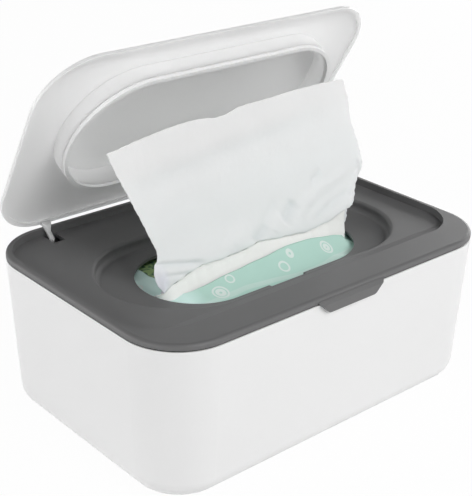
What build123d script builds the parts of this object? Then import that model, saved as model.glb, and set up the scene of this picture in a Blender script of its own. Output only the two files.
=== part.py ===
from build123d import *
from math import atan2, cos, degrees, radians, sin, sqrt, tan
import os

# Wet-wipes dispenser: a tub, a lift-off cover with a dispensing opening, and a sealing lid held open.
# Millimetres, +Z up. The origin is the centre of the footprint, on the surface that the feet stand on.
# +X runs along the dispenser, -Y faces the user and +Y is the hinge side.

# Tub
tub_length = 195.0
tub_width = 135.4
tub_corner = 26.4
tub_rim = 73.9
tub_draft = 2.9
tub_wall = 1.8
tub_floor = 2.2
tub_bottom_round = 9.5
foot_height = 0.8
foot_radius = 7.0
foot_inset = 27.0

# Cover
gasket_height = 0.7
gasket_setback = 0.6
cover_skirt = 2.6
cover_edge_round = 1.8
plug_clearance = 0.7
plug_wall = 1.6
plug_depth = 8.0
side_rim = 3.0
rear_rim = 3.5
front_border = 16.2
recess_depth = 3.5
recess_corner = 23.0
floor_thickness = 1.8
ramp_rise = 1.5
ramp_length = 8.5

# Oval well and dispensing opening
well_end_margin = 16.5
well_radius = 37.5
well_y = -3.0
well_depth = 8.9
well_wall = 1.8
well_edge_round = 1.6
well_foot_round = 2.5
opening_end_margin = 19.5
opening_side_margin = 9.5
opening_shift = 0.5
opening_drop = 1.2
opening_lip = 1.3
dish_margin = 3.0
notch_width = 21.0
notch_depth = 2.4
notch_x = -1.5

# Front tab of the cover
tab_top_width = 40.0
tab_bottom_width = 28.0
tab_x = 1.0
tab_drop = 5.0
tab_thickness = 1.4
tab_gap = 0.25
tab_face_slope = 1.6
tab_corner = 2.6

# Hinge
pivot_inset = 4.1
pivot_below_top = 8.2
open_angle = 59.2
arm_inset = 29.5
arm_width = 5.2
neck_width = 2.0
arm_thickness = 1.6
arm_reach = 8.1
arm_reach_height = 5.4
arm_leg = 6.3
arm_low = 3.0
knuckle_radius = 1.7
pin_radius = 0.9
running_clearance = 0.06
seat_clearance = 0.02
arm_side_clearance = 0.5
arm_bend = 1.6
arm_edge_inset = 1.0
slot_clearance = 0.3
bay_clearance = 1.0
ear_thickness = 1.8
ear_radius = 1.8

# Lid, measured in the closed position
lid_side_gap = 0.5
lid_front_gap = 1.0
lid_rear_gap = 6.7
lid_corner = 27.0
lid_edge = 1.4
lid_dome = 4.2
lid_shoulder = 24.0
lid_below_top = 0.4
lid_lip = 2.4
lid_hollow = 0.8
pocket_hollow = 2.6
rib_end_clearance = 2.1
rib_side_clearance = 3.0
rib_shift = 0.8
rib_wall = 2.2
rib_height = 6.7
seal_height = 1.6
seal_inset = 0.2

# Refill pack and wipes
pack_gap = 0.3
pouch_end_gap = 8.0
pouch_side_gap = 9.0
pouch_corner = 18.0
pouch_headroom = 1.5
pouch_film = 1.2
stack_headroom = 2.5
mouth_margin = 2.5
mouth_width = 18.2
mouth_y = -2.1
sheet_thickness = 0.8
sheet_end_margin = 11.5
sheet_first_fold = 0.3
next_wipe_step = 2.7
next_wipe_clearance = 2.4

# The pack's rows: how far a row draws in from the pack's outline, and its share of the height
pack_rows = ((4.0, 0.0), (0.0, 0.16), (0.0, 0.62), (4.5, 0.84), (13.0, 0.955), (28.0, 1.0))

# The wipes' rows: height above the cover's top, tilt in degrees, lean backwards, reach of the left and the
# right end past the opening's ends, depth of the folds
raised_wipe_rows = (
    (-10.0, 0.0, 0.0, -5.5, -3.0, 0.3),
    (2.0, 0.0, 0.0, -3.5, 2.5, 0.5),
    (16.0, 0.0, 1.9, -0.5, 12.8, 1.2),
    (38.0, 1.35, 5.0, 8.0, 8.5, 1.6),
    (60.8, 2.7, 8.0, 16.8, 3.0, 1.2),
)
next_wipe_rows = ((-7.0, 0.0, 0.0, -6.0, -5.0, 0.5),)
next_wipe_top_row = (0.0, 0.0, -4.0, -1.5, 0.5)

# Worked-out levels and places
cover_seat = tub_rim + gasket_height
cover_top = cover_seat + cover_skirt
recess_floor = cover_top - recess_depth
floor_underside = recess_floor - floor_thickness
well_floor = cover_top - well_depth
opening_edge = well_floor - opening_drop
well_underside = opening_edge - opening_lip
recess_front = -tub_width / 2 + front_border
recess_back = tub_width / 2 - rear_rim
recess_half_length = tub_length / 2 - side_rim
inner_length = tub_length - 2 * tub_wall
inner_width = tub_width - 2 * tub_wall
inner_corner = tub_corner - tub_wall
pivot_y = tub_width / 2 - pivot_inset
pivot_z = cover_top - pivot_below_top
lid_length = 2 * (recess_half_length - lid_side_gap)
lid_front = recess_front + lid_front_gap
lid_back = recess_back - lid_rear_gap
lid_depth = lid_back - lid_front
lid_bottom = cover_top - lid_below_top - pivot_z
lid_centre = lid_front + lid_depth / 2 - pivot_y
arm_top_y = lid_back - pivot_y - arm_edge_inset
arm_outer_x = tub_length / 2 - arm_inset
neck_x = arm_outer_x - neck_width / 2
strap_x = arm_outer_x - arm_width / 2
ear_offset = neck_width / 2 + arm_side_clearance
well_half_length = recess_half_length - well_end_margin
opening_half_length = well_half_length - opening_end_margin
opening_radius = well_radius - opening_side_margin
opening_y = well_y + opening_shift
rib_half_length = well_half_length - rib_end_clearance
rib_radius = well_radius - rib_side_clearance
rib_y = well_y - rib_shift - pivot_y
inside_floor = foot_height + tub_floor
floor_shrink = 2 * (tub_rim - inside_floor) * tan(radians(tub_draft))
pouch_length = inner_length - floor_shrink - 2 * pouch_end_gap
pouch_width = inner_width - floor_shrink - 2 * pouch_side_gap
pouch_bottom = inside_floor + pack_gap
pouch_top = well_underside - pouch_headroom

os.makedirs("parts", exist_ok=True)


def write(builder, name):
    """Labels a finished piece and writes it under its own name."""
    builder.part.label = name
    export_step(builder.part, f"parts/{name}.step")


def lid_level(height):
    """The lid's own plane at rest: closed directions turned open about the pivot, height above the pivot."""
    turn = radians(open_angle)
    base = Plane(origin=(0, pivot_y, pivot_z), x_dir=(1, 0, 0), z_dir=(0, sin(turn), cos(turn)))
    return base.offset(height)


def stadium(half_length, radius, y=0.0, mode=Mode.ADD):
    """A stadium along X, by its half length and end radius."""
    with Locations((0, y)):
        return SlotOverall(2 * half_length, 2 * radius, mode=mode)


def drafted_block(length, width, corner, bottom, bottom_round):
    """A block of the given size at the tub's rim that narrows downwards by the draft, rounded at its foot."""
    height = tub_rim - bottom
    shrink = height * tan(radians(tub_draft))
    with BuildPart() as block:
        with BuildSketch(Plane.XY.offset(bottom)):
            RectangleRounded(length - 2 * shrink, width - 2 * shrink, corner - shrink)
        extrude(amount=height, taper=-tub_draft)
        fillet(block.edges().group_by(Axis.Z)[0], bottom_round)
    return block.part


def arcs_of(builder, radius):
    """All round edges of the given radius."""
    round_edges = builder.edges().filter_by(GeomType.CIRCLE)
    return round_edges.filter_by(lambda edge: abs(edge.radius - radius) < 0.001)


# Tub: an open drafted box with a large round along its bottom edge
with BuildPart() as tub:
    add(drafted_block(tub_length, tub_width, tub_corner, foot_height, tub_bottom_round))
    add(drafted_block(inner_length, inner_width, inner_corner, inside_floor, tub_bottom_round - tub_wall),
        mode=Mode.SUBTRACT)
write(tub, "tub")

# Feet: four thin pads under the tub
with BuildPart() as non_slip_feet:
    with BuildSketch():
        with GridLocations(tub_length - 2 * foot_inset, tub_width - 2 * foot_inset, 2, 2):
            Circle(foot_radius)
    extrude(amount=foot_height)
write(non_slip_feet, "non_slip_feet")

# Gasket: a flat ring on the tub's rim, set back so that a dark seam shows
with BuildPart() as cover_gasket:
    with BuildSketch(Plane.XY.offset(tub_rim)):
        RectangleRounded(tub_length - 2 * gasket_setback, tub_width - 2 * gasket_setback,
                         tub_corner - gasket_setback)
        RectangleRounded(inner_length, inner_width, inner_corner, mode=Mode.SUBTRACT)
    extrude(amount=gasket_height)
write(cover_gasket, "cover_gasket")

# Recess that the closed lid lies in: its floor ramps up towards the front border
with BuildPart() as recess:
    with BuildSketch(Plane.XY.offset(recess_floor)):
        with Locations((0, (recess_front + recess_back) / 2)):
            RectangleRounded(2 * recess_half_length, recess_back - recess_front, recess_corner)
    extrude(amount=2 * recess_depth)
    with BuildSketch(Plane.YZ.offset(-recess_half_length)):
        with BuildLine():
            Polyline((recess_front, recess_floor), (recess_front, recess_floor + ramp_rise),
                     (recess_front + ramp_length, recess_floor), close=True)
        make_face()
    extrude(amount=2 * recess_half_length, mode=Mode.SUBTRACT)

# Cover: rim and border, a floor plate, a plug wall inside the tub, the oval well and the hinge ears
plug_length = inner_length - 2 * plug_clearance
plug_width = inner_width - 2 * plug_clearance
plug_corner = inner_corner - plug_clearance
hinge_bay = arm_width + 2 * (arm_side_clearance + ear_thickness + bay_clearance)
slot_width = arm_width + 2 * arm_side_clearance
slot_front = pivot_y - arm_reach - arm_thickness / 2 - slot_clearance
slot_back = recess_back - slot_clearance
tab_slant = (tab_top_width - tab_bottom_width) / 2
tab_angle = degrees(atan2(cover_skirt - cover_edge_round + tab_drop, tab_slant))
with BuildPart() as cover:
    with BuildSketch(Plane.XY.offset(cover_seat)):
        RectangleRounded(tub_length, tub_width, tub_corner)
    extrude(amount=cover_skirt)
    fillet(cover.edges().group_by(Axis.Z)[-1], cover_edge_round)
    with BuildSketch(Plane.XY.offset(floor_underside)):
        RectangleRounded(plug_length, plug_width, plug_corner)
    extrude(amount=cover_seat - floor_underside)
    with BuildSketch(Plane.XY.offset(cover_seat - plug_depth)):
        RectangleRounded(plug_length, plug_width, plug_corner)
        RectangleRounded(plug_length - 2 * plug_wall, plug_width - 2 * plug_wall, plug_corner - plug_wall,
                         mode=Mode.SUBTRACT)
        with Locations((-strap_x, pivot_y), (strap_x, pivot_y)):
            Rectangle(hinge_bay, 2 * (pivot_inset + bay_clearance), mode=Mode.SUBTRACT)
    extrude(amount=floor_underside - (cover_seat - plug_depth))
    with BuildSketch(Plane.XY.offset(well_underside)):
        stadium(well_half_length + well_wall, well_radius + well_wall, well_y)
    extrude(amount=floor_underside - well_underside)
    add(recess.part, mode=Mode.SUBTRACT)
    with BuildSketch(Plane.XY.offset(well_floor)):
        stadium(well_half_length, well_radius, well_y)
    extrude(amount=cover_top - well_floor, mode=Mode.SUBTRACT)
    fillet(arcs_of(cover, well_radius).group_by(Axis.Z)[-1], well_edge_round)
    fillet(arcs_of(cover, well_radius).group_by(Axis.Z)[0], well_foot_round)
    with BuildSketch(Plane.XY.offset(opening_edge)):
        stadium(opening_half_length, opening_radius, opening_y)
    with BuildSketch(Plane.XY.offset(well_floor)):
        stadium(well_half_length - dish_margin, well_radius - dish_margin, well_y)
    loft(mode=Mode.SUBTRACT)
    with BuildSketch(Plane.XY.offset(well_underside)):
        stadium(opening_half_length, opening_radius, opening_y)
        with Locations((notch_x, opening_y - opening_radius)):
            Rectangle(notch_width, 2 * notch_depth)
    extrude(amount=well_depth, mode=Mode.SUBTRACT)
    with BuildSketch(Plane.XY.offset(floor_underside)):
        with Locations((-strap_x, (slot_front + slot_back) / 2), (strap_x, (slot_front + slot_back) / 2)):
            Rectangle(slot_width, slot_back - slot_front)
    extrude(amount=floor_thickness, mode=Mode.SUBTRACT)
    for side in (-1, 1):
        for start in (side * neck_x - ear_offset - ear_thickness, side * neck_x + ear_offset):
            with BuildSketch(Plane.YZ.offset(start)):
                with Locations((pivot_y, pivot_z)):
                    Circle(ear_radius)
                with Locations((pivot_y, (pivot_z + floor_underside) / 2)):
                    Rectangle(2 * ear_radius, floor_underside - pivot_z)
                with Locations((pivot_y, pivot_z)):
                    Circle(pin_radius + seat_clearance, mode=Mode.SUBTRACT)
            extrude(amount=ear_thickness)
    tab_back = tub_width / 2 + tab_gap
    tab_low = cover_seat - tab_drop
    tab_high = cover_top - cover_edge_round
    for depth, inset in ((tab_back, 0), (tab_back + tab_thickness, tab_face_slope)):
        tab_height = tab_high - tab_low - inset
        with BuildSketch(Plane.XZ.offset(depth)) as tab_outline:
            with Locations((tab_x, tab_low + tab_height / 2)):
                Trapezoid(tab_top_width - 2 * inset, tab_height, tab_angle, rotation=180)
            fillet(tab_outline.vertices().group_by(Axis.Y)[0], tab_corner)
    loft(ruled=True)
    with BuildSketch(Plane.XZ.offset(tub_width / 2 - tab_thickness)):
        with Locations((tab_x, (cover_seat + tab_high) / 2)):
            Rectangle(tab_top_width - 2 * tab_face_slope, tab_high - cover_seat)
    extrude(amount=tab_gap + tab_thickness)
write(cover, "cover")

# Hinge pins: one through each pair of ears
for side, name in ((-1, "hinge_pin_left"), (1, "hinge_pin_right")):
    with BuildPart() as hinge_pin:
        pin_length = 2 * (ear_offset + ear_thickness)
        with BuildSketch(Plane.YZ.offset(side * neck_x - pin_length / 2)):
            with Locations((pivot_y, pivot_z)):
                Circle(pin_radius)
        extrude(amount=pin_length)
    write(hinge_pin, name)

# Lid: a thin domed shell with a hollow underside and a stadium rib that drops into the oval well
dome_rows = 8
dome_radius = (lid_shoulder ** 2 + lid_dome ** 2) / (2 * lid_dome)
with BuildPart() as lid:
    with BuildSketch(lid_level(lid_bottom)):
        with Locations((0, lid_centre)):
            RectangleRounded(lid_length, lid_depth, lid_corner)
    extrude(amount=lid_edge)
    for row in range(dome_rows + 1):
        inset = lid_shoulder * row / dome_rows
        drop = dome_radius - sqrt(dome_radius ** 2 - (lid_shoulder - inset) ** 2)
        with BuildSketch(lid_level(lid_bottom + lid_edge + lid_dome - drop)):
            with Locations((0, lid_centre)):
                RectangleRounded(lid_length - 2 * inset, lid_depth - 2 * inset, lid_corner - inset)
    loft(ruled=True)
    with BuildSketch(lid_level(lid_bottom)):
        with Locations((0, lid_centre)):
            RectangleRounded(lid_length - 2 * lid_lip, lid_depth - 2 * lid_lip, lid_corner - lid_lip)
    extrude(amount=lid_hollow, mode=Mode.SUBTRACT)
    with BuildSketch(lid_level(lid_bottom + lid_hollow)):
        stadium(rib_half_length - rib_wall, rib_radius - rib_wall, rib_y)
    extrude(amount=pocket_hollow - lid_hollow, mode=Mode.SUBTRACT)
    with BuildSketch(lid_level(lid_bottom - rib_height)):
        stadium(rib_half_length, rib_radius, rib_y)
        stadium(rib_half_length - rib_wall, rib_radius - rib_wall, rib_y, mode=Mode.SUBTRACT)
    extrude(amount=rib_height + lid_hollow)
write(lid, "lid")

# Seal ring: a soft ring on the rib's end, just clear of the well's floor when the lid is shut
with BuildPart() as lid_seal_ring:
    with BuildSketch(lid_level(lid_bottom - rib_height - seal_height)):
        stadium(rib_half_length - seal_inset, rib_radius - seal_inset, rib_y)
        stadium(rib_half_length - rib_wall + seal_inset, rib_radius - rib_wall + seal_inset, rib_y,
                mode=Mode.SUBTRACT)
    extrude(amount=seal_height)
write(lid_seal_ring, "lid_seal_ring")

# Hinge arms: a strap that stands off the lid's rear edge, passes down through its slot and hooks back to
# the pin. It is wide at the lid and narrows to a neck.
for side, name in ((-1, "hinge_arm_left"), (1, "hinge_arm_right")):
    strap_start = side * strap_x - arm_width / 2
    arm_plane = Plane(origin=(strap_start, pivot_y, pivot_z), x_dir=tuple(lid_level(0).y_dir), z_dir=(1, 0, 0))
    taper_plane = Plane(origin=(side * arm_outer_x, pivot_y, pivot_z), x_dir=(-side, 0, 0),
                        z_dir=tuple(side * lid_level(0).y_dir))
    with BuildPart() as hinge_arm:
        with BuildSketch(arm_plane):
            with BuildLine():
                FilletPolyline((arm_top_y, lid_bottom), (-arm_reach, arm_reach_height), (-arm_leg, -arm_low),
                               (0, 0), radius=arm_bend)
            trace(line_width=arm_thickness)
            with Locations((0, 2 * lid_bottom)):
                Rectangle(4 * arm_reach, 2 * lid_bottom, mode=Mode.SUBTRACT)
            Circle(knuckle_radius)
            Circle(pin_radius + running_clearance, mode=Mode.SUBTRACT)
        extrude(amount=arm_width)
        with BuildSketch(taper_plane):
            with BuildLine():
                Polyline((neck_width, knuckle_radius), (arm_width, lid_bottom), (2 * arm_width, lid_bottom),
                         (2 * arm_width, -2 * arm_low), (neck_width, -2 * arm_low), close=True)
            make_face()
        extrude(amount=2 * arm_reach, both=True, mode=Mode.SUBTRACT)
    write(hinge_arm, name)


def soft_pack(inset, low, high):
    """Lofts a rounded pack: a flat bottom, upright sides and a crown that draws in towards the top."""
    with BuildPart() as body:
        for drawn_in, share in pack_rows:
            margin = inset + drawn_in
            with BuildSketch(Plane.XY.offset(low + share * (high - low))):
                RectangleRounded(pouch_length - 2 * margin, pouch_width - 2 * margin, pouch_corner - inset)
        loft(ruled=True)
    return body.part


# Pouch: a film shell round the stack, with the mouth that the wipes are pulled through
mouth_half_length = opening_half_length - mouth_margin
with BuildPart() as pouch:
    add(soft_pack(0, pouch_bottom, pouch_top))
    add(soft_pack(pouch_film, pouch_bottom + pouch_film, pouch_top - pouch_film), mode=Mode.SUBTRACT)
    with BuildSketch(Plane.XY.offset(pouch_top - 2 * pouch_film)):
        stadium(mouth_half_length, mouth_width / 2, mouth_y)
    extrude(amount=3 * pouch_film, mode=Mode.SUBTRACT)
write(pouch, "pouch")

# Stack of folded wipes inside the pouch
stack_inset = pouch_film + pack_gap
stack_top = pouch_top - stack_inset - stack_headroom
with BuildPart() as wipe_stack:
    add(soft_pack(stack_inset, pouch_bottom + stack_inset, stack_top))
write(wipe_stack, "wipe_stack")


def sheet(depth, rows):
    """Lofts a thin upright sheet with soft folds, from the stack up through the given rows."""
    folds = (0, 1, 0, -1, 0, 1, 0, -1, 0)
    first_row = (stack_top + pack_gap - cover_top, 0, 0, -sheet_end_margin, -sheet_end_margin, sheet_first_fold)
    with BuildPart() as body:
        for height, tilt, lean, past_left, past_right, fold in (first_row, *rows):
            turn = radians(tilt)
            left = -opening_half_length - past_left
            step = (2 * opening_half_length + past_left + past_right) / (len(folds) - 1)
            front = [(left + step * i, depth + lean - fold * side) for i, side in enumerate(folds)]
            back = [(x, y + sheet_thickness) for x, y in reversed(front)]
            level = Plane((0, 0, cover_top + height), x_dir=(cos(turn), 0, sin(turn)),
                          z_dir=(-sin(turn), 0, cos(turn)))
            with BuildSketch(level):
                with BuildLine():
                    for edge, corner in ((front, back[0]), (back, front[0])):
                        for first in range(0, len(folds) - 1, 2):
                            ThreePointArc(*edge[first:first + 3])
                        Line(edge[-1], corner)
                make_face()
        loft(ruled=True)
    return body.part


# Raised wipe: the sheet pulled up through the opening, fanned out with a few soft folds
raised_wipe_y = mouth_y - mouth_width / 4
with BuildPart() as raised_wipe:
    add(sheet(raised_wipe_y, raised_wipe_rows))
write(raised_wipe, "raised_wipe")

# Next wipe: the band that stands up out of the mouth in front of the raised one, clear of the shut lid
next_wipe_top = pocket_hollow - lid_below_top - next_wipe_clearance
with BuildPart() as next_wipe:
    add(sheet(raised_wipe_y - next_wipe_step, (*next_wipe_rows, (next_wipe_top, *next_wipe_top_row))))
write(next_wipe, "next_wipe")
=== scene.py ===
import math

import bmesh
import bpy
import numpy as np
from mathutils import Matrix, Vector


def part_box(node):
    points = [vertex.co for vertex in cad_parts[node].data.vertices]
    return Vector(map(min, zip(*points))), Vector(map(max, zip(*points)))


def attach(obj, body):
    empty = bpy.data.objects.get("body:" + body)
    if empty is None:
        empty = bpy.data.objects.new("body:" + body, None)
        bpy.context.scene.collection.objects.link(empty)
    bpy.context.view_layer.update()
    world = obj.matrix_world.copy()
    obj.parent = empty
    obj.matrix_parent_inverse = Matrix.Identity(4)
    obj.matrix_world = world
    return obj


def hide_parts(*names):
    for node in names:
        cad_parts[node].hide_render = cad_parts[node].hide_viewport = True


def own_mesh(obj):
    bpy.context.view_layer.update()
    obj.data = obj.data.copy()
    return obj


# A wet-wipes dispenser: pale tub, dark cover with an oval well, hinged sealing lid held open over a raised
# wipe. Metres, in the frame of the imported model. A size in millimetres is written as number * MM, and the
# refill's points are worked out in millimetres and multiplied by MM when they become a mesh.

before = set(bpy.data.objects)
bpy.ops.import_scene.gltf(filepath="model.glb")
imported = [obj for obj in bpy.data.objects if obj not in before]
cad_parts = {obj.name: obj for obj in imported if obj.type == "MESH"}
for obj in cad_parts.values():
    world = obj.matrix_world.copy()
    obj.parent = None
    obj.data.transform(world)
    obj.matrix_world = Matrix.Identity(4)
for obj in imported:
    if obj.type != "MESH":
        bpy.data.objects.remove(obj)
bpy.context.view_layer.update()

MM = 0.001

# Camera, fitted to the photograph's edges; the picture is 472 by 496 pixels, so its height sets the lens
CAMERA_AZIMUTH = -41.261
CAMERA_ELEVATION = 24.597
CAMERA_ROLL = 1.06
CAMERA_DISTANCE = 556.67 * MM
CAMERA_RIGHT = -3.829 * MM
CAMERA_UP = 20.032 * MM
CAMERA_AIM_HEIGHT = 48.75 * MM
FOCAL_PIXELS = 1179.38
PICTURE_HEIGHT = 496
SENSOR = 36.0

# Soft boxes: what they face, how far off they stand, the length of a side, then each one's name, its azimuth
# and elevation in degrees, and its watts
LIGHT_AIM = (0, 0, 0.08)
LIGHT_REACH = 1.4
LIGHT_SIDE = 0.8
SOFT_BOXES = (
    ("box_left", -85, 6, 6.5), ("box_right", 60, 6, 4.9), ("box_rear_right", 110, 6, 10.6),
    ("box_rear_left", -130, 6, 8.8), ("box_low", -12, 4, 1.2), ("box_front", 3, 38, 12.0),
)
# The world's light on the object, and the white that the camera sees
WORLD_LIGHT = 0.14
WHITE = (1, 1, 1)
# Floor: half its side, its matte colour, and the share of it that glows white where the camera sees it
FLOOR_HALF = 4.0
FLOOR_COLOUR = (0.86, 0.86, 0.86)
FLOOR_GLOW = 0.97

# Raised wipe's outline, in millimetres: height and x on its left and right edge, x and height along its top,
# and height and y down its middle
WIPE_LEFT = (
    (60.8, -50), (66, -53), (70, -56), (75, -58.3), (79.4, -57.8), (83, -55.6), (87.5, -55.4), (92.7, -57.4),
    (104.6, -62.3), (115.2, -67.1), (126.6, -72.3), (134, -75.2),
)
WIPE_RIGHT = (
    (60.8, 49), (65.7, 54.8), (71.3, 59.2), (79.4, 60.4), (88.4, 65.8), (95.5, 71.4), (106.3, 69.9),
    (121, 65.2), (132.8, 63.8), (140.3, 61.5),
)
WIPE_TOP = (
    (-75.2, 133.9), (-54.2, 136.9), (-33.9, 138.8), (-24.1, 138.6), (-17.5, 137.6), (-12.9, 137.9),
    (-5.9, 139.2), (13.1, 139.8), (30.3, 140.8), (49.5, 141), (61.5, 140.3),
)
WIPE_LEAN = ((60.8, -7.1), (66, -7.1), (78, -7.2), (92, -5), (118, -1.5), (140, 1.5))
# Where its base turns under, over the next wipe, and where the pouch's film hides that wipe: x and height
WIPE_HEM = (
    (-60, 67), (-55, 68.2), (-48, 70.4), (-34, 74.4), (-17, 74.8), (-10, 75.1), (1, 76.4), (20, 74.6),
    (33, 73.4), (46, 74.9), (57, 78), (64, 80),
)
FILM_LIP = (
    (-62, 65.6), (-50.2, 65.5), (-36.9, 66.8), (-19.4, 68.8), (-1, 70.5), (18.4, 72.4), (31.7, 71.4),
    (45, 69.2), (55, 66.9), (64, 65.6),
)
# Its hem: ends as x, share of the rows below it, how far the turned base bulges, the height of the bulge's
# crest above the hem and the height in which it fades
HEM_LEFT, HEM_RIGHT = -56.0, 60.5
HEM_SHARE = 0.16
HEM_BULGE = 3.1
HEM_CREST = 1.4
HEM_FADE = 7.5
# Its creases: start and end as x and height, width and how far each stands out or, below 0, sinks in
WIPE_CREASES = (
    ((-62, 117), (48, 127), 4.6, -0.55), ((-58, 124), (30, 132), 5.0, 0.3),
    ((18, 82), (25, 89), 3.6, -1.5), ((27, 81), (37, 91), 3.6, 0.9), ((10, 80), (15, 86), 3.4, 0.7),
    ((-3, 79), (6, 83), 3.0, -1.3), ((-14, 80), (-5, 87), 3.4, 0.6), ((4, 85), (14, 92), 3.0, -0.4),
    ((38, 96), (44, 99), 2.4, -0.6), ((-20, 79), (8, 92), 4.5, 0.35),
    ((36, 79), (61, 87), 1.8, -0.8), ((30, 87), (62, 97), 3.0, 0.7),
    ((-57, 81), (-33, 77), 1.3, -1.5), ((-54, 76), (-38, 73.6), 0.9, -0.7),
    ((-55.5, 66), (-55, 80), 1.2, 0.8),
)
DEEPEST_CREASE = 1.5
# Its long waves: height, radians per millimetre across and up, radians at the start, and the heights between
# which each one grows
WIPE_WAVES = (
    (0.45, 0.052, 0.021, 0.6, 75, 105), (0.3, 0.11, -0.035, 2.1, 85, 130), (0.12, 0.21, 0.17, 0.0, 80, 100),
)
CLOTH_THICKNESS = 0.35

# Next wipe's band, in millimetres: its left end, its length, how much shorter its foot is, how far its top
# is above the raised wipe's hem, the y of its foot, and how far it leans back
BAND_LEFT = -57.4
BAND_LENGTH = 113.9
BAND_TAPER = 3.0
BAND_OVER_HEM = 0.4
BAND_FOOT_Y = -12.2
BAND_LEAN = 3.1
# Its loose left end lies on the film, between a lower and an upper height, and joins the rest between two x
LOOSE_LOW, LOOSE_HIGH = 65.9, 67.4
LOOSE_END, LOOSE_JOIN = -57, -50

# Pouch, in millimetres: its corner, its side from the foot to the crown as insets and shares of its height,
# its mouth's centre and half sizes, and the thickness of its film
POUCH_CORNER = 18.0
POUCH_SIDE = (
    (4.0, 0), (0.9, 0.06), (0.0, 0.18), (0.0, 0.4), (0.2, 0.62), (2.6, 0.78), (8.5, 0.91), (17, 0.975),
    (27, 1),
)
MOUTH_CENTRE = (4.0, -3.0)
MOUTH_HALF_LENGTH = 54.0
MOUTH_HALF_WIDTH = 9.8
FILM_THICKNESS = 0.25
POUCH_COLUMNS = 360
BOTTOM_ROWS, SIDE_ROWS, MOUTH_ROWS = 8, 60, 22
# Rings printed on its film: centre as x and y, radius, and half the width of the line
FILM_RINGS = (
    ((-31, -20), 3.6, 0.45), ((-31, -20), 1.6, 0.9), ((-22, -15.5), 2.0, 0.4), ((7, -20), 2.4, 0.45),
    ((14, -16), 1.3, 0.7), ((36, -18), 2.8, 0.45), ((36, -18), 1.1, 0.7), ((-56, 8), 2.4, 0.4),
    ((-36, 18), 4.0, 0.5), ((30, 18), 3.4, 0.5),
)
# Edges of the green panel printed behind the mouth
PANEL_LEFT, PANEL_RIGHT, PANEL_FRONT, PANEL_REAR = -44.3, 46, 6.5, 29

# Stack of folded wipes, in millimetres: its corner, the number of wipes and of rows for each, how deep the
# groove between two wipes is, the insets of its side, its foot and its crown's edge, and the share of its
# height below the crown
STACK_CORNER = 14.0
STACK_WIPES = 32
ROWS_PER_WIPE = 6
GROOVE_DEPTH = 1.1
STACK_INSET, FOOT_INSET, CROWN_INSET = 0.6, 3.4, 1.6
STACK_BODY = 0.72
STACK_COLUMNS = 120
STACK_BOTTOM_ROWS, CROWN_ROWS = 6, 30


# Objects and camera


def add_object(name, data):
    """A new object that shows its data in the scene."""
    made = bpy.data.objects.new(name, data)
    bpy.context.scene.collection.objects.link(made)
    return made


def direction(azimuth, elevation):
    """A unit vector: azimuth in degrees from the front towards the right, elevation in degrees up."""
    turn, tilt = math.radians(azimuth), math.radians(elevation)
    return math.sin(turn) * math.cos(tilt), -math.cos(turn) * math.cos(tilt), math.sin(tilt)


def add_camera():
    """A camera at the photograph's place, with its roll and its lens."""
    azimuth, roll = math.radians(CAMERA_AZIMUTH), math.radians(CAMERA_ROLL)
    back = Vector(direction(CAMERA_AZIMUTH, CAMERA_ELEVATION))
    right = Vector((math.cos(azimuth), math.sin(azimuth), 0))
    up = back.cross(right)
    rolled_right = right * math.cos(roll) + up * math.sin(roll)
    rolled_up = up * math.cos(roll) - right * math.sin(roll)
    data = bpy.data.cameras.new("view")
    data.sensor_width = SENSOR
    data.lens = FOCAL_PIXELS / PICTURE_HEIGHT * SENSOR
    camera = add_object("view", data)
    aim = Vector((0, 0, CAMERA_AIM_HEIGHT)) + right * CAMERA_RIGHT + up * CAMERA_UP
    turn = Matrix((rolled_right, rolled_up, back)).transposed().to_4x4()
    camera.matrix_world = Matrix.Translation(aim + back * CAMERA_DISTANCE) @ turn
    bpy.context.scene.camera = camera


# Shader maths


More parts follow.
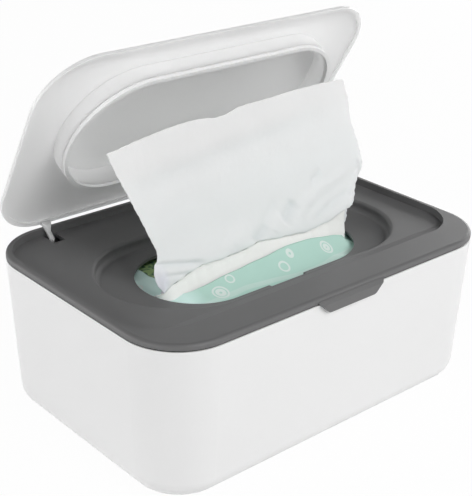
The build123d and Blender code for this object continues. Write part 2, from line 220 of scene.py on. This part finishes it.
class Maths:
    """A shader value or colour as a Python expression: + - * / and ** add Math nodes."""

    def __init__(self, tree, socket=None):
        self.tree = tree
        self.socket = socket

    def node(self, kind, settings=None, **sockets):
        """Any node: first its settings, then its sockets, by name with _ for a space or by number as n0."""
        made = self.tree.nodes.new("ShaderNode" + kind)
        for name, value in (settings or {}).items():
            setattr(made, name, value)
        for name, value in sockets.items():
            key = int(name[1:]) if name[0] == "n" and name[1:].isdigit() else name.replace("_", " ")
            target = made.inputs[key]
            if isinstance(value, Maths):
                self.tree.links.new(value.socket, target)
            elif target.type == "RGBA" and len(value) == 3:
                target.default_value = (*value, 1)
            else:
                target.default_value = value
        return made

    def get(self, kind, output=0, settings=None, **sockets):
        """One output of a new node."""
        return Maths(self.tree, self.node(kind, settings, **sockets).outputs[output])

    def math(self, operation, *values, clamp=False):
        """A Math node's operation on the given values."""
        sockets = {f"n{i}": value for i, value in enumerate(values)}
        return self.get("Math", settings={"operation": operation, "use_clamp": clamp}, **sockets)

    def __add__(self, other):
        return self.math("ADD", self, other)

    def __radd__(self, other):
        return self.math("ADD", other, self)

    def __sub__(self, other):
        return self.math("SUBTRACT", self, other)

    def __rsub__(self, other):
        return self.math("SUBTRACT", other, self)

    def __mul__(self, other):
        return self.math("MULTIPLY", self, other)

    def __rmul__(self, other):
        return self.math("MULTIPLY", other, self)

    def __truediv__(self, other):
        return self.math("DIVIDE", self, other)

    def __rtruediv__(self, other):
        return self.math("DIVIDE", other, self)

    def __pow__(self, other):
        return self.math("POWER", self, other)

    def __rpow__(self, other):
        return self.math("POWER", other, self)

    def sin(self):
        return self.math("SINE", self)

    def abs(self):
        return self.math("ABSOLUTE", self)

    def max(self, other):
        return self.math("MAXIMUM", self, other)

    def above(self, edge, soft):
        """0 below the edge, 1 above it, with a straight ramp of the given width across it."""
        return self.math("ADD", (self - edge) / soft, 0.5, clamp=True)

    def between(self, low, high, soft):
        """1 between two edges, 0 outside them, with the same ramp across each."""
        return self.above(low, soft) * (1 - self.above(high, soft))

    def mix(self, low, high):
        """The colour that goes from low to high as this value goes from 0 to 1."""
        # A Mix node's colours go in at 6 and 7 and come out at 2
        return self.get("Mix", 2, {"data_type": "RGBA"}, n0=self, n6=low, n7=high)

    def parts(self):
        """The x, y and z of a vector."""
        made = self.node("SeparateXYZ", Vector=self)
        return [Maths(self.tree, output) for output in made.outputs]

    def noise(self, scale, detail=3.0, roughness=0.5, distortion=0.0):
        """Noise in the vector's own space, about 0 to 1."""
        return self.get("TexNoise", 0, Vector=self, Scale=scale, Detail=detail, Roughness=roughness,
                        Distortion=distortion)

    def bump(self, height):
        """A bumped normal; height in metres."""
        return self.get("Bump", 0, Height=height, Strength=1.0, Distance=1.0)


# Materials


def new_material(name, colour, roughness, **constants):
    """A Principled material: its object-space vector as Maths, and the shader's node."""
    material = bpy.data.materials.new(name)
    material.use_nodes = True
    tree = material.node_tree
    shader = tree.nodes["Principled BSDF"]
    shader.inputs["Base Color"].default_value = (*colour, 1)
    shader.inputs["Roughness"].default_value = roughness
    for key, value in constants.items():
        shader.inputs[key.replace("_", " ")].default_value = value
    coordinates = tree.nodes.new("ShaderNodeTexCoord")
    return material, Maths(tree, coordinates.outputs["Object"]), shader


def feed(shader, **values):
    """Links what changes over a surface to the shader's sockets, named with _ for a space."""
    for name, value in values.items():
        value.tree.links.new(value.socket, shader.inputs[name.replace("_", " ")])


def moulded_plastic(name, colour, roughness, grain, mottle, grain_size=0.5 * MM, coat=0.0, clear=0.0):
    """Moulded plastic: a fine etched grain, and faint flow mottling in the colour and in the gloss.

    Grain is the depth of the etching, grain_size its pitch, mottle the strength of the mottling, and clear
    the share of the light that passes under the surface.
    """
    material, place, shader = new_material(name, colour, roughness, Coat_Weight=coat, Coat_Roughness=0.25,
                                           Subsurface_Weight=clear, Subsurface_Radius=(1.0, 1.0, 1.0),
                                           Subsurface_Scale=8.0 * MM)
    fine = place.noise(1 / grain_size, detail=2.0, roughness=0.6)
    flow = place.noise(38.0, distortion=0.4)
    shade = (flow - 0.5) * mottle + (fine - 0.5) * mottle
    dark = tuple(channel * 0.82 for channel in colour)
    pale = tuple(min(1.0, channel * 1.18) for channel in colour)
    feed(shader, Base_Color=(shade + 0.5).mix(dark, pale),
         Roughness=roughness + (flow - 0.5) * 0.12 + (fine - 0.5) * 0.06,
         Normal=place.bump(fine * grain))
    return material


def soft_rubber(name, colour, roughness):
    """Matte rubber or silicone with a powdery surface."""
    material, place, shader = new_material(name, colour, roughness)
    dust = place.noise(900.0, roughness=0.7)
    dusty = tuple(min(1.0, channel * 1.25 + 0.01) for channel in colour)
    feed(shader, Base_Color=(dust * 0.8).mix(colour, dusty), Normal=place.bump(dust * (0.03 * MM)))
    return material


def pin_steel():
    """Drawn steel wire: fine lines round the pin, one every 0.7 mm of its length."""
    material, place, shader = new_material("pin_steel", (0.58, 0.58, 0.6), 0.32, Metallic=1.0)
    along = place.parts()[0]
    lines = (along * 9000).sin() * 0.5 + 0.5
    feed(shader, Roughness=0.24 + lines * 0.14 + place.noise(300.0) * 0.08,
         Normal=place.bump(lines * (0.004 * MM)))
    return material


def cloth(name, colour, roughness, clear):
    """A wipe's thin non-woven cloth, as new_material gives it: a share of the light, clear, passes through
    it, and it has a faint sheen."""
    return new_material(name, colour, roughness, Subsurface_Weight=clear, Subsurface_Radius=(1.0, 1.0, 1.0),
                        Subsurface_Scale=0.6 * MM, Sheen_Weight=0.15, Sheen_Roughness=0.5)


def damp_cloth():
    """The raised wipe's cloth: fine random fibres, a cool wet tint below a soft line that rises to the
    right, painted grey shade in its sunken creases, and painted lavender shade in the fold at the left end
    of its hem."""
    dry_white, wet_white = (0.8, 0.8, 0.8), (0.845, 0.868, 0.87)
    crease_shade_grey, lavender_shade = (0.66, 0.71, 0.72), (0.78, 0.79, 0.87)
    material, place, shader = cloth("wipe_cloth", (0.9, 0.92, 0.92), 0.62, clear=1.0)
    x, _, z = place.parts()
    fibre = place.noise(1500.0, detail=4.0, roughness=0.7, distortion=1.2)
    cloud = place.noise(60.0, detail=4.0, roughness=0.6)
    over_line = z - x * 0.08 + cloud * (14 * MM)
    wet = 1 - over_line.above(124 * MM, 26 * MM)
    damp = place.get("Attribute", 2, {"attribute_name": "damp"})
    # Painted shade: a lavender tint in the fold at the left of the wipe's base
    fold_shade = (1 - x.above(-52.5 * MM, 3 * MM)) * (1 - z.above(79 * MM, 6 * MM)) * z.above(66.5 * MM, 2 * MM)
    colour = wet.mix(dry_white, wet_white)
    # Painted shade: grey in the creases that sink in
    colour = (damp * 0.4).mix(colour, crease_shade_grey)
    colour = (fold_shade * 0.8).mix(colour, lavender_shade)
    feed(shader, Base_Color=colour, Roughness=0.5 + fibre * 0.25,
         Normal=place.bump(fibre * (0.05 * MM) + cloud * (0.3 * MM)))
    return material


def folded_cloth():
    """The cloth of the next wipes: the same fibres, a creamier colour, and fine crumples."""
    cream, pale_cream = (0.965, 0.97, 0.935), (0.99, 0.99, 0.965)
    material, place, shader = cloth("next_cloth", (0.94, 0.945, 0.92), 0.6, clear=0.25)
    fibre = place.noise(1400.0, detail=4.0, roughness=0.7, distortion=1.0)
    crumple = place.noise(170.0, roughness=0.55, distortion=0.8)
    feed(shader, Base_Color=(crumple * 0.9).mix(cream, pale_cream), Roughness=0.5 + fibre * 0.2,
         Normal=place.bump(fibre * (0.05 * MM) + crumple * (0.35 * MM)))
    return material


def ring_mark(x, y, centre, radius, half_width):
    """A printed ring: 1 where a point's distance from the centre is near the radius, 0 elsewhere."""
    across, along = x - centre[0] * MM, y - centre[1] * MM
    distance = (across * across + along * along) ** 0.5
    return 1 - (distance - radius * MM).abs().above(half_width * MM, 0.25 * MM)


def pouch_film():
    """Mint film, with painted light that makes it paler at its left end, a print of plain rings, a faint
    wave and a green mottled panel, soft creases and a satin gloss."""
    mint, pale_mint, lit_end_mint = (0.48, 0.735, 0.645), (0.54, 0.785, 0.70), (0.74, 0.97, 0.92)
    print_white, dark_green, leaf_green = (0.86, 0.92, 0.89), (0.03, 0.1, 0.035), (0.26, 0.4, 0.13)
    material, place, shader = new_material("pouch_film", (0.5, 0.76, 0.66), 0.48, Coat_Weight=0.08,
                                           Coat_Roughness=0.35)
    x, y, _ = place.parts()
    soft_edge = 0.4 * MM
    cloud = place.noise(45.0, distortion=0.6)
    colour = (cloud * 0.9).mix(mint, pale_mint)
    # Painted light: the film grows paler towards its left end, where it lies in shade
    left_end_light = 1 - x.above(-42 * MM, 8 * MM)
    colour = left_end_light.mix(colour, lit_end_mint)
    wave = (x * 95).sin() * (1.3 * MM) + (x * 41 + 1.0).sin() * (1.6 * MM)
    printed = (1 - (y + 24 * MM + wave).abs().above(1.5 * MM, soft_edge)) * 0.35
    for centre, radius, half_width in FILM_RINGS:
        printed = printed.max(ring_mark(x, y, centre, radius, half_width))
    colour = (printed * 0.75).mix(colour, print_white)
    panel = x.between(PANEL_LEFT * MM, PANEL_RIGHT * MM, soft_edge) * y.above(PANEL_FRONT * MM, soft_edge)
    panel = panel * (1 - (y + (x * 70).sin() * (2.2 * MM)).above(PANEL_REAR * MM, 0.5 * MM))
    blotch = place.noise(210.0, detail=2.0, roughness=0.45, distortion=1.8).above(0.52, 0.16)
    colour = (panel * 0.95).mix(colour, blotch.mix(dark_green, leaf_green))
    ripple = place.noise(190.0, detail=2.0)
    feed(shader, Base_Color=colour, Roughness=0.56 + cloud * 0.12,
         Normal=place.bump(cloud * (0.5 * MM) + ripple * (0.08 * MM)))
    return material


def paint(material, *names):
    """Gives CAD nodes their material."""
    for name in names:
        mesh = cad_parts[name].data
        mesh.materials.clear()
        mesh.materials.append(material)


# Surfaces and curves


def surface(name, points, material, closed=False):
    """A mesh from a grid of points in millimetres, rows along v and columns along u, with a UV map from 0
    to 1; a closed one joins its last column to its first."""
    rows, columns = points.shape[:2]
    across = columns if closed else columns - 1
    i, j = np.meshgrid(np.arange(rows - 1), np.arange(across), indexing="ij")
    row, row_after = i * columns, (i + 1) * columns
    after = (j + 1) % columns
    quads = np.stack([row + j, row + after, row_after + after, row_after + j], -1).reshape(-1, 4)
    u = np.stack([j, j + 1, j + 1, j], -1) / across
    v = np.stack([i, i, i + 1, i + 1], -1) / (rows - 1)
    mesh = bpy.data.meshes.new(name)
    mesh.from_pydata((points * MM).reshape(-1, 3).tolist(), [], quads.tolist())
    layer = mesh.uv_layers.new(name="UVMap")
    layer.data.foreach_set("uv", np.stack([u, v], -1).astype(np.float32).ravel())
    mesh.polygons.foreach_set("use_smooth", [True] * len(quads))
    mesh.materials.append(material)
    return add_object(name, mesh)


def add_share(piece, name, values):
    """Keeps a value from 0 to 1 at each point of a piece, for its material."""
    layer = piece.data.attributes.new(name, "FLOAT", "POINT")
    layer.data.foreach_set("value", values.astype(np.float32).ravel())


def thicken(piece, thickness, offset=0.0):
    """Gives a sheet its thickness in millimetres: half to each side, or all outwards with an offset of 1."""
    wall = piece.modifiers.new("thickness", "SOLIDIFY")
    wall.thickness = thickness * MM
    wall.offset = offset
    wall.use_even_offset = False


def ridge(distance, width):
    """A rounded ridge: 1 on its line, falling as a bell curve, 0 a few widths away."""
    return np.exp(-(distance / width) ** 2)


def soft_step(value, low, high):
    """0 below low, 1 above high, smooth between them."""
    t = np.clip((value - low) / (high - low), 0, 1)
    return t * t * (3 - 2 * t)


def line_distance(x, z, start, end):
    """Signed distance from the line through two points, and how far along it a point lies, 0 to 1."""
    dx, dz = end[0] - start[0], end[1] - start[1]
    length = math.hypot(dx, dz)
    along = ((x - start[0]) * dx + (z - start[1]) * dz) / length ** 2
    return ((x - start[0]) * dz - (z - start[1]) * dx) / length, along


def crease(x, z, start, end, width):
    """A soft crease: 1 along the line between two points, fading at its ends and a width to each side."""
    distance, along = line_distance(x, z, start, end)
    return ridge(distance, width) * soft_step(along, -0.15, 0.15) * (1 - soft_step(along, 0.8, 1.15))


def curve_through(points, at):
    """A smooth curve through a few points: a cubic with the slopes of its neighbours."""
    x, y = np.array(points, float).T
    slope = np.gradient(y, x)
    place = np.clip(np.searchsorted(x, at) - 1, 0, len(x) - 2)
    step = x[place + 1] - x[place]
    t = np.clip((at - x[place]) / step, 0, 1)
    return (y[place] * (1 + 2 * t) * (1 - t) ** 2 + y[place + 1] * t * t * (3 - 2 * t)
            + step * t * (1 - t) * (slope[place] * (1 - t) - slope[place + 1] * t))


def frayed(at, height):
    """Small uneven waves along a torn or crumpled edge: three sines added, of about the given height."""
    return height * (0.5 * np.sin(at * 1.1) + 0.35 * np.sin(at * 2.3 + 1.0) + 0.25 * np.sin(at * 0.43 + 2.2))


# Wipes


def wipe_folds(x, z, right):
    """How far the raised wipe stands out of its mean surface, in millimetres, and the painted shade in its
    creases.

    Three long waves that grow with the height, then each crease, then a puckered edge along its lower right.
    """
    out, damp = np.zeros_like(x), np.zeros_like(x)
    for height, across, up, turned, low, high in WIPE_WAVES:
        out += height * np.sin(x * across + z * up + turned) * soft_step(z, low, high)
    for start, end, width, height in WIPE_CREASES:
        line = crease(x, z, start, end, width)
        out += height * line
        # Painted shade in each crease that sinks in, darker the deeper it sinks
        damp = np.maximum(damp, np.clip(-height, 0, DEEPEST_CREASE) / DEEPEST_CREASE * line)
    # The puckers stand 2.4 mm inside the right edge
    out += (0.7 + 0.3 * np.sin(z * 0.9)) * ridge(x - right + 2.4, 0.9) * (1 - soft_step(z, 96, 108))
    return out, damp


def make_raised_wipe(material):
    """Raised wipe: its columns run between its side edges, its lower rows between its foot and the hem where
    its base turns under, and the rest between the hem and the top edge."""
    rows, columns = 170, 230
    u, v = np.meshgrid(np.linspace(0, 1, columns), np.linspace(0, 1, rows))
    bottom = WIPE_LEFT[0][0]
    left_top, top_left = WIPE_LEFT[-1]
    right_top, top_right = WIPE_RIGHT[-1]
    top_x = top_left + (top_right - top_left) * u
    top = curve_through(WIPE_TOP, top_x) + frayed(top_x, height=0.16)
    hem_x = HEM_LEFT + (HEM_RIGHT - HEM_LEFT) * u
    hem = curve_through(WIPE_HEM, hem_x) + frayed(hem_x * 0.33, height=0.4)
    above_hem = np.clip((v - HEM_SHARE) / (1 - HEM_SHARE), 0, 1)
    z = np.where(v < HEM_SHARE, bottom + (hem - bottom) * v / HEM_SHARE, hem + (top - hem) * above_hem)
    rise = (z - bottom) / (top - bottom)
    on_left = bottom + (left_top - bottom) * rise
    on_right = bottom + (right_top - bottom) * rise
    left = curve_through(WIPE_LEFT, on_left) + frayed(on_left, height=0.16)
    lower = 1 - soft_step(z, 92, 112)
    right = curve_through(WIPE_RIGHT, on_right) + frayed(on_right + 3, height=0.4) * lower
    right += frayed(on_right, height=0.2)
    x = left + (right - left) * u
    over = z - hem
    past_crest = np.clip(over - HEM_CREST, 0, None)
    bulge = HEM_BULGE * soft_step(over, -0.4, HEM_CREST) * ridge(past_crest, HEM_FADE)
    folds, damp = wipe_folds(x, z, right)
    y = curve_through(WIPE_LEAN, z) - bulge - folds * soft_step(over, -0.5, 2.0)
    piece = surface("pulled_wipe", np.stack([x, y, z], -1), material)
    # Keeps the painted crease shade at each point, for the cloth's material
    add_share(piece, "damp", damp)
    thicken(piece, CLOTH_THICKNESS)
    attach(piece, "cover")
    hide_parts("raised_wipe")
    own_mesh(piece)


def make_next_wipe(material):
    """Next wipe: a band from inside the pouch up behind the raised wipe's hem, its left end on the film."""
    rows, columns = 40, 180
    u, v = np.meshgrid(np.linspace(0, 1, columns), np.linspace(0, 1, rows))
    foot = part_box("next_wipe")[0].z / MM
    x = BAND_LEFT + (BAND_LENGTH - BAND_TAPER * (1 - v)) * u
    loose = 1 - soft_step(x, LOOSE_END, LOOSE_JOIN)
    top = curve_through(WIPE_HEM, x) + BAND_OVER_HEM
    top = top + (LOOSE_HIGH - top) * loose + frayed(x, height=0.3)
    low = foot + (LOOSE_LOW - foot) * loose
    z = low + (top - low) * v
    rise = soft_step(z, curve_through(FILM_LIP, x) - 3, top)
    y = BAND_FOOT_Y + BAND_LEAN * rise
    y = y + 0.25 * np.sin(x * 0.16 + 1.0) * v + 0.25 * np.sin(x * 0.41) * v * (1 - v)
    y += 0.24 * np.sin(x * 0.83 + 2.0 * np.sin(x * 0.17)) * v * (1 - 0.4 * v)
    y += loose * (4.0 - 3.0 * v)
    piece = surface("next_wipe_band", np.stack([x, y, z], -1), material)
    thicken(piece, CLOTH_THICKNESS)
    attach(piece, "base")
    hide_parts("next_wipe")
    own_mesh(piece)


# Pouch and stack


def box_sizes(node):
    """A CAD node's box in millimetres: half its length and width, and its lowest and highest level."""
    low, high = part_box(node)
    return (high.x - low.x) / 2 / MM, (high.y - low.y) / 2 / MM, low.z / MM, high.z / MM


def round_outline(half_x, half_y, corner, columns):
    """Points round a rounded rectangle, from the middle of its right side, evenly spaced in each quarter."""
    turn = np.linspace(0, np.pi / 2, 200)
    arc_x = half_x - corner + corner * np.cos(turn)
    arc_y = half_y - corner + corner * np.sin(turn)
    line_x, line_y = np.r_[half_x, arc_x, 0], np.r_[0, arc_y, half_y]
    walked = np.r_[0, np.cumsum(np.hypot(np.diff(line_x), np.diff(line_y)))]
    ahead = np.linspace(0, 1, columns // 4, endpoint=False) * walked[-1]
    back = walked[-1] - ahead
    x, y = np.interp(ahead, walked, line_x), np.interp(ahead, walked, line_y)
    back_x, back_y = np.interp(back, walked, line_x), np.interp(back, walked, line_y)
    return np.stack([np.r_[x, -back_x, -x, back_x], np.r_[y, back_y, -y, -back_y]], -1)


def pack_rows(profile, half_x, half_y, corner, columns):
    """Rows of a pack: the rounded outline drawn in by each of the profile's insets, at its height."""
    rows = []
    for inset, height in profile:
        size_x, size_y = max(half_x - inset, 0.0), max(half_y - inset, 0.0)
        ring = round_outline(size_x, size_y, min(corner, size_x, size_y), columns)
        rows.append(np.column_stack([ring, np.full(columns, height)]))
    return np.array(rows)


def closed_shell(name, points, material):
    """A surface that closes round its columns, with points that fall in one place merged."""
    piece = surface(name, points, material, closed=True)
    mesh = bmesh.new()
    mesh.from_mesh(piece.data)
    bmesh.ops.remove_doubles(mesh, verts=mesh.verts, dist=0.001 * MM)
    mesh.to_mesh(piece.data)
    mesh.free()
    return piece


def smooth_profile(points, rows):
    """A profile of insets and heights with more rows: even steps on a smooth curve through those given."""
    places = np.linspace(0, len(points) - 1, rows)
    insets, heights = (curve_through(list(enumerate(values)), places) for values in zip(*points))
    return list(zip(insets, heights))


def mouth_rows(edge, level):
    """Rows from the crown's edge over to the mouth: its front lip rises to the film's line, its back only a
    little, and a little more at its left end."""
    mouth = round_outline(MOUTH_HALF_LENGTH, MOUTH_HALF_WIDTH, MOUTH_HALF_WIDTH, POUCH_COLUMNS)
    mouth = mouth + MOUTH_CENTRE
    share = np.linspace(0, 1, MOUTH_ROWS + 1)[1:, None]
    x = edge[:, 0] + (mouth[:, 0] - edge[:, 0]) * share
    y = edge[:, 1] + (mouth[:, 1] - edge[:, 1]) * share
    lip = curve_through(FILM_LIP, x) - level
    front = soft_step(-y, 4, 10)
    z = level + lip * front * share ** 1.6 + (1 - front) * 0.9 * share ** 3
    z = z + 0.9 * soft_step(-x, 42, 56) * (1 - front) * share
    return np.stack([x, y, z], -1)


def crown_folds(x, y, z, half_x, half_y, low, high):
    """New heights for the pouch's points: folds that run in towards its middle, as sines of the angle round
    it, sink into its upper part away from the middle, and a fine ripple crosses them."""
    turn = np.arctan2(y / half_y, x / half_x)
    upper = soft_step(z, low + 0.55 * (high - low), high)
    outer = soft_step(np.abs(x) / half_x + np.abs(y) / half_y, 0.5, 1.2)
    folds = 0.5 * np.sin(turn * 17 + 0.7) + 0.35 * np.sin(turn * 29 + 2.0 + x * 0.05)
    sunk = z - np.clip(folds + 0.4, 0, None) * 0.9 * upper * outer
    return sunk + 0.12 * np.sin(x * 0.35 + y * 0.2) * upper


def make_pouch(material):
    """Pouch: a flat bottom, full sides, a crown that draws in, and the mouth, whose front lip stands up."""
    half_x, half_y, low, high = box_sizes("pouch")
    profile = [(half_y * (1 - share), low) for share in np.linspace(0, 0.9, BOTTOM_ROWS)]
    side = [(inset, low + share * (high - low)) for inset, share in POUCH_SIDE]
    profile += smooth_profile(side, SIDE_ROWS)
    points = pack_rows(profile, half_x, half_y, POUCH_CORNER, POUCH_COLUMNS)
    points = np.concatenate([points, mouth_rows(points[-1], high)])
    x, y, z = np.moveaxis(points, -1, 0)
    points = np.stack([x, y, crown_folds(x, y, z, half_x, half_y, low, high)], -1)
    piece = closed_shell("wipes_pouch", points, material)
    thicken(piece, FILM_THICKNESS, offset=1.0)
    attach(piece, "base")
    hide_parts("pouch")


def make_stack(material):
    """Stack of folded wipes: its side has a groove between each two wipes, and its crown rises to the middle
    as a rounded dome."""
    half_x, half_y, low, high = box_sizes("wipe_stack")
    body = (high - low) * STACK_BODY
    crown = high - low - body
    profile = [(half_y * (1 - share), low) for share in np.linspace(0, 0.9, STACK_BOTTOM_ROWS)]
    profile.append((FOOT_INSET, low))
    for place in np.linspace(0, 1, STACK_WIPES * ROWS_PER_WIPE + 1)[1:]:
        groove = GROOVE_DEPTH * abs(math.cos(place * STACK_WIPES * math.pi)) ** 3
        foot = FOOT_INSET * (1 - min(1, place / 0.08)) ** 2
        profile.append((STACK_INSET + groove + foot, low + body * place))
    for share in np.linspace(0.03, 1, CROWN_ROWS):
        inset = CROWN_INSET + (half_y - CROWN_INSET) * share
        profile.append((inset, low + body + crown * math.sin(share * math.pi / 2) ** 0.8))
    points = pack_rows(profile, half_x, half_y, STACK_CORNER, STACK_COLUMNS)
    piece = closed_shell("folded_wipes", points, material)
    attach(piece, "base")
    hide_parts("wipe_stack")


# Floor and light


def bare_nodes(owner):
    """An emptied node tree of a material or world, as Maths."""
    owner.use_nodes = True
    owner.node_tree.nodes.clear()
    return Maths(owner.node_tree)


def ray_share(maths, *kinds):
    """1 for a ray of any of the named kinds, 0 for the others."""
    path = maths.node("LightPath")
    share = Maths(maths.tree, path.outputs[kinds[0]])
    for kind in kinds[1:]:
        share = share.max(Maths(maths.tree, path.outputs[kind]))
    return share


def add_stage():
    """A pale floor that fills the view and keeps a faint shadow."""
    mesh = bpy.data.meshes.new("floor")
    corners = [(x * FLOOR_HALF, y * FLOOR_HALF, 0) for x, y in ((-1, -1), (1, -1), (1, 1), (-1, 1))]
    mesh.from_pydata(corners, [], [(0, 1, 2, 3)])
    floor = add_object("floor", mesh)
    material = bpy.data.materials.new("floor")
    maths = bare_nodes(material)
    share = ray_share(maths, "Is Camera Ray", "Is Glossy Ray", "Is Transmission Ray") * FLOOR_GLOW
    matte = maths.get("BsdfDiffuse", Color=FLOOR_COLOUR)
    glow = maths.get("Emission", Color=WHITE, Strength=1.0)
    maths.node("OutputMaterial", Surface=maths.get("MixShader", n0=share, n1=matte, n2=glow))
    mesh.materials.append(material)


def add_world():
    """White where the camera looks, and a soft even light for the rest."""
    world = bpy.data.worlds.new("studio")
    bpy.context.scene.world = world
    maths = bare_nodes(world)
    share = ray_share(maths, "Is Camera Ray", "Is Transmission Ray")
    light = maths.get("Background", Color=WHITE, Strength=WORLD_LIGHT)
    white = maths.get("Background", Color=WHITE, Strength=1.0)
    maths.node("OutputWorld", Surface=maths.get("MixShader", n0=share, n1=light, n2=white))


def add_lamps():
    """Square soft boxes in a ring round the object that face it, each named by its direction."""
    for name, azimuth, elevation, watts in SOFT_BOXES:
        data = bpy.data.lights.new(name, "AREA")
        data.shape = "RECTANGLE"
        data.size, data.size_y = LIGHT_SIDE, LIGHT_SIDE
        data.energy = watts
        lamp = add_object(name, data)
        away = direction(azimuth, elevation)
        place = Vector([aim + LIGHT_REACH * part for aim, part in zip(LIGHT_AIM, away)])
        turn = (place - Vector(LIGHT_AIM)).to_track_quat("Z", "Y").to_matrix().to_4x4()
        lamp.matrix_world = Matrix.Translation(place) @ turn


# The scene

bpy.context.scene.view_settings.view_transform = "Standard"
add_camera()
add_world()
add_stage()
add_lamps()

paint(moulded_plastic("tub_white", (0.82, 0.82, 0.82), 0.42, grain=0.006 * MM, mottle=0.06), "tub")
paint(moulded_plastic("lid_white", (0.925, 0.925, 0.925), 0.38, grain=0.004 * MM, mottle=0.05,
                      clear=1.0), "lid")
# Painted light: the hinge arms get a paler, glossier copy of the lid's white plastic, so that they stand
# brighter than their shade
paint(moulded_plastic("arm_white_painted_light", (0.97, 0.97, 0.97), 0.3, grain=0.004 * MM, mottle=0.03, coat=0.2,
                      clear=1.0), "hinge_arm_left", "hinge_arm_right")
paint(moulded_plastic("cover_charcoal", (0.132, 0.132, 0.133), 0.5, grain=0.02 * MM, mottle=0.25,
                      grain_size=0.45 * MM), "cover")
paint(soft_rubber("gasket_black", (0.006, 0.006, 0.006), 0.9), "cover_gasket")
paint(soft_rubber("seal_white", (0.78, 0.78, 0.78), 0.6), "lid_seal_ring")
paint(soft_rubber("feet_grey", (0.55, 0.55, 0.55), 0.75), "non_slip_feet")
paint(pin_steel(), "hinge_pin_left", "hinge_pin_right")

make_raised_wipe(damp_cloth())
next_cloth = folded_cloth()
make_next_wipe(next_cloth)
make_stack(next_cloth)
make_pouch(pouch_film())
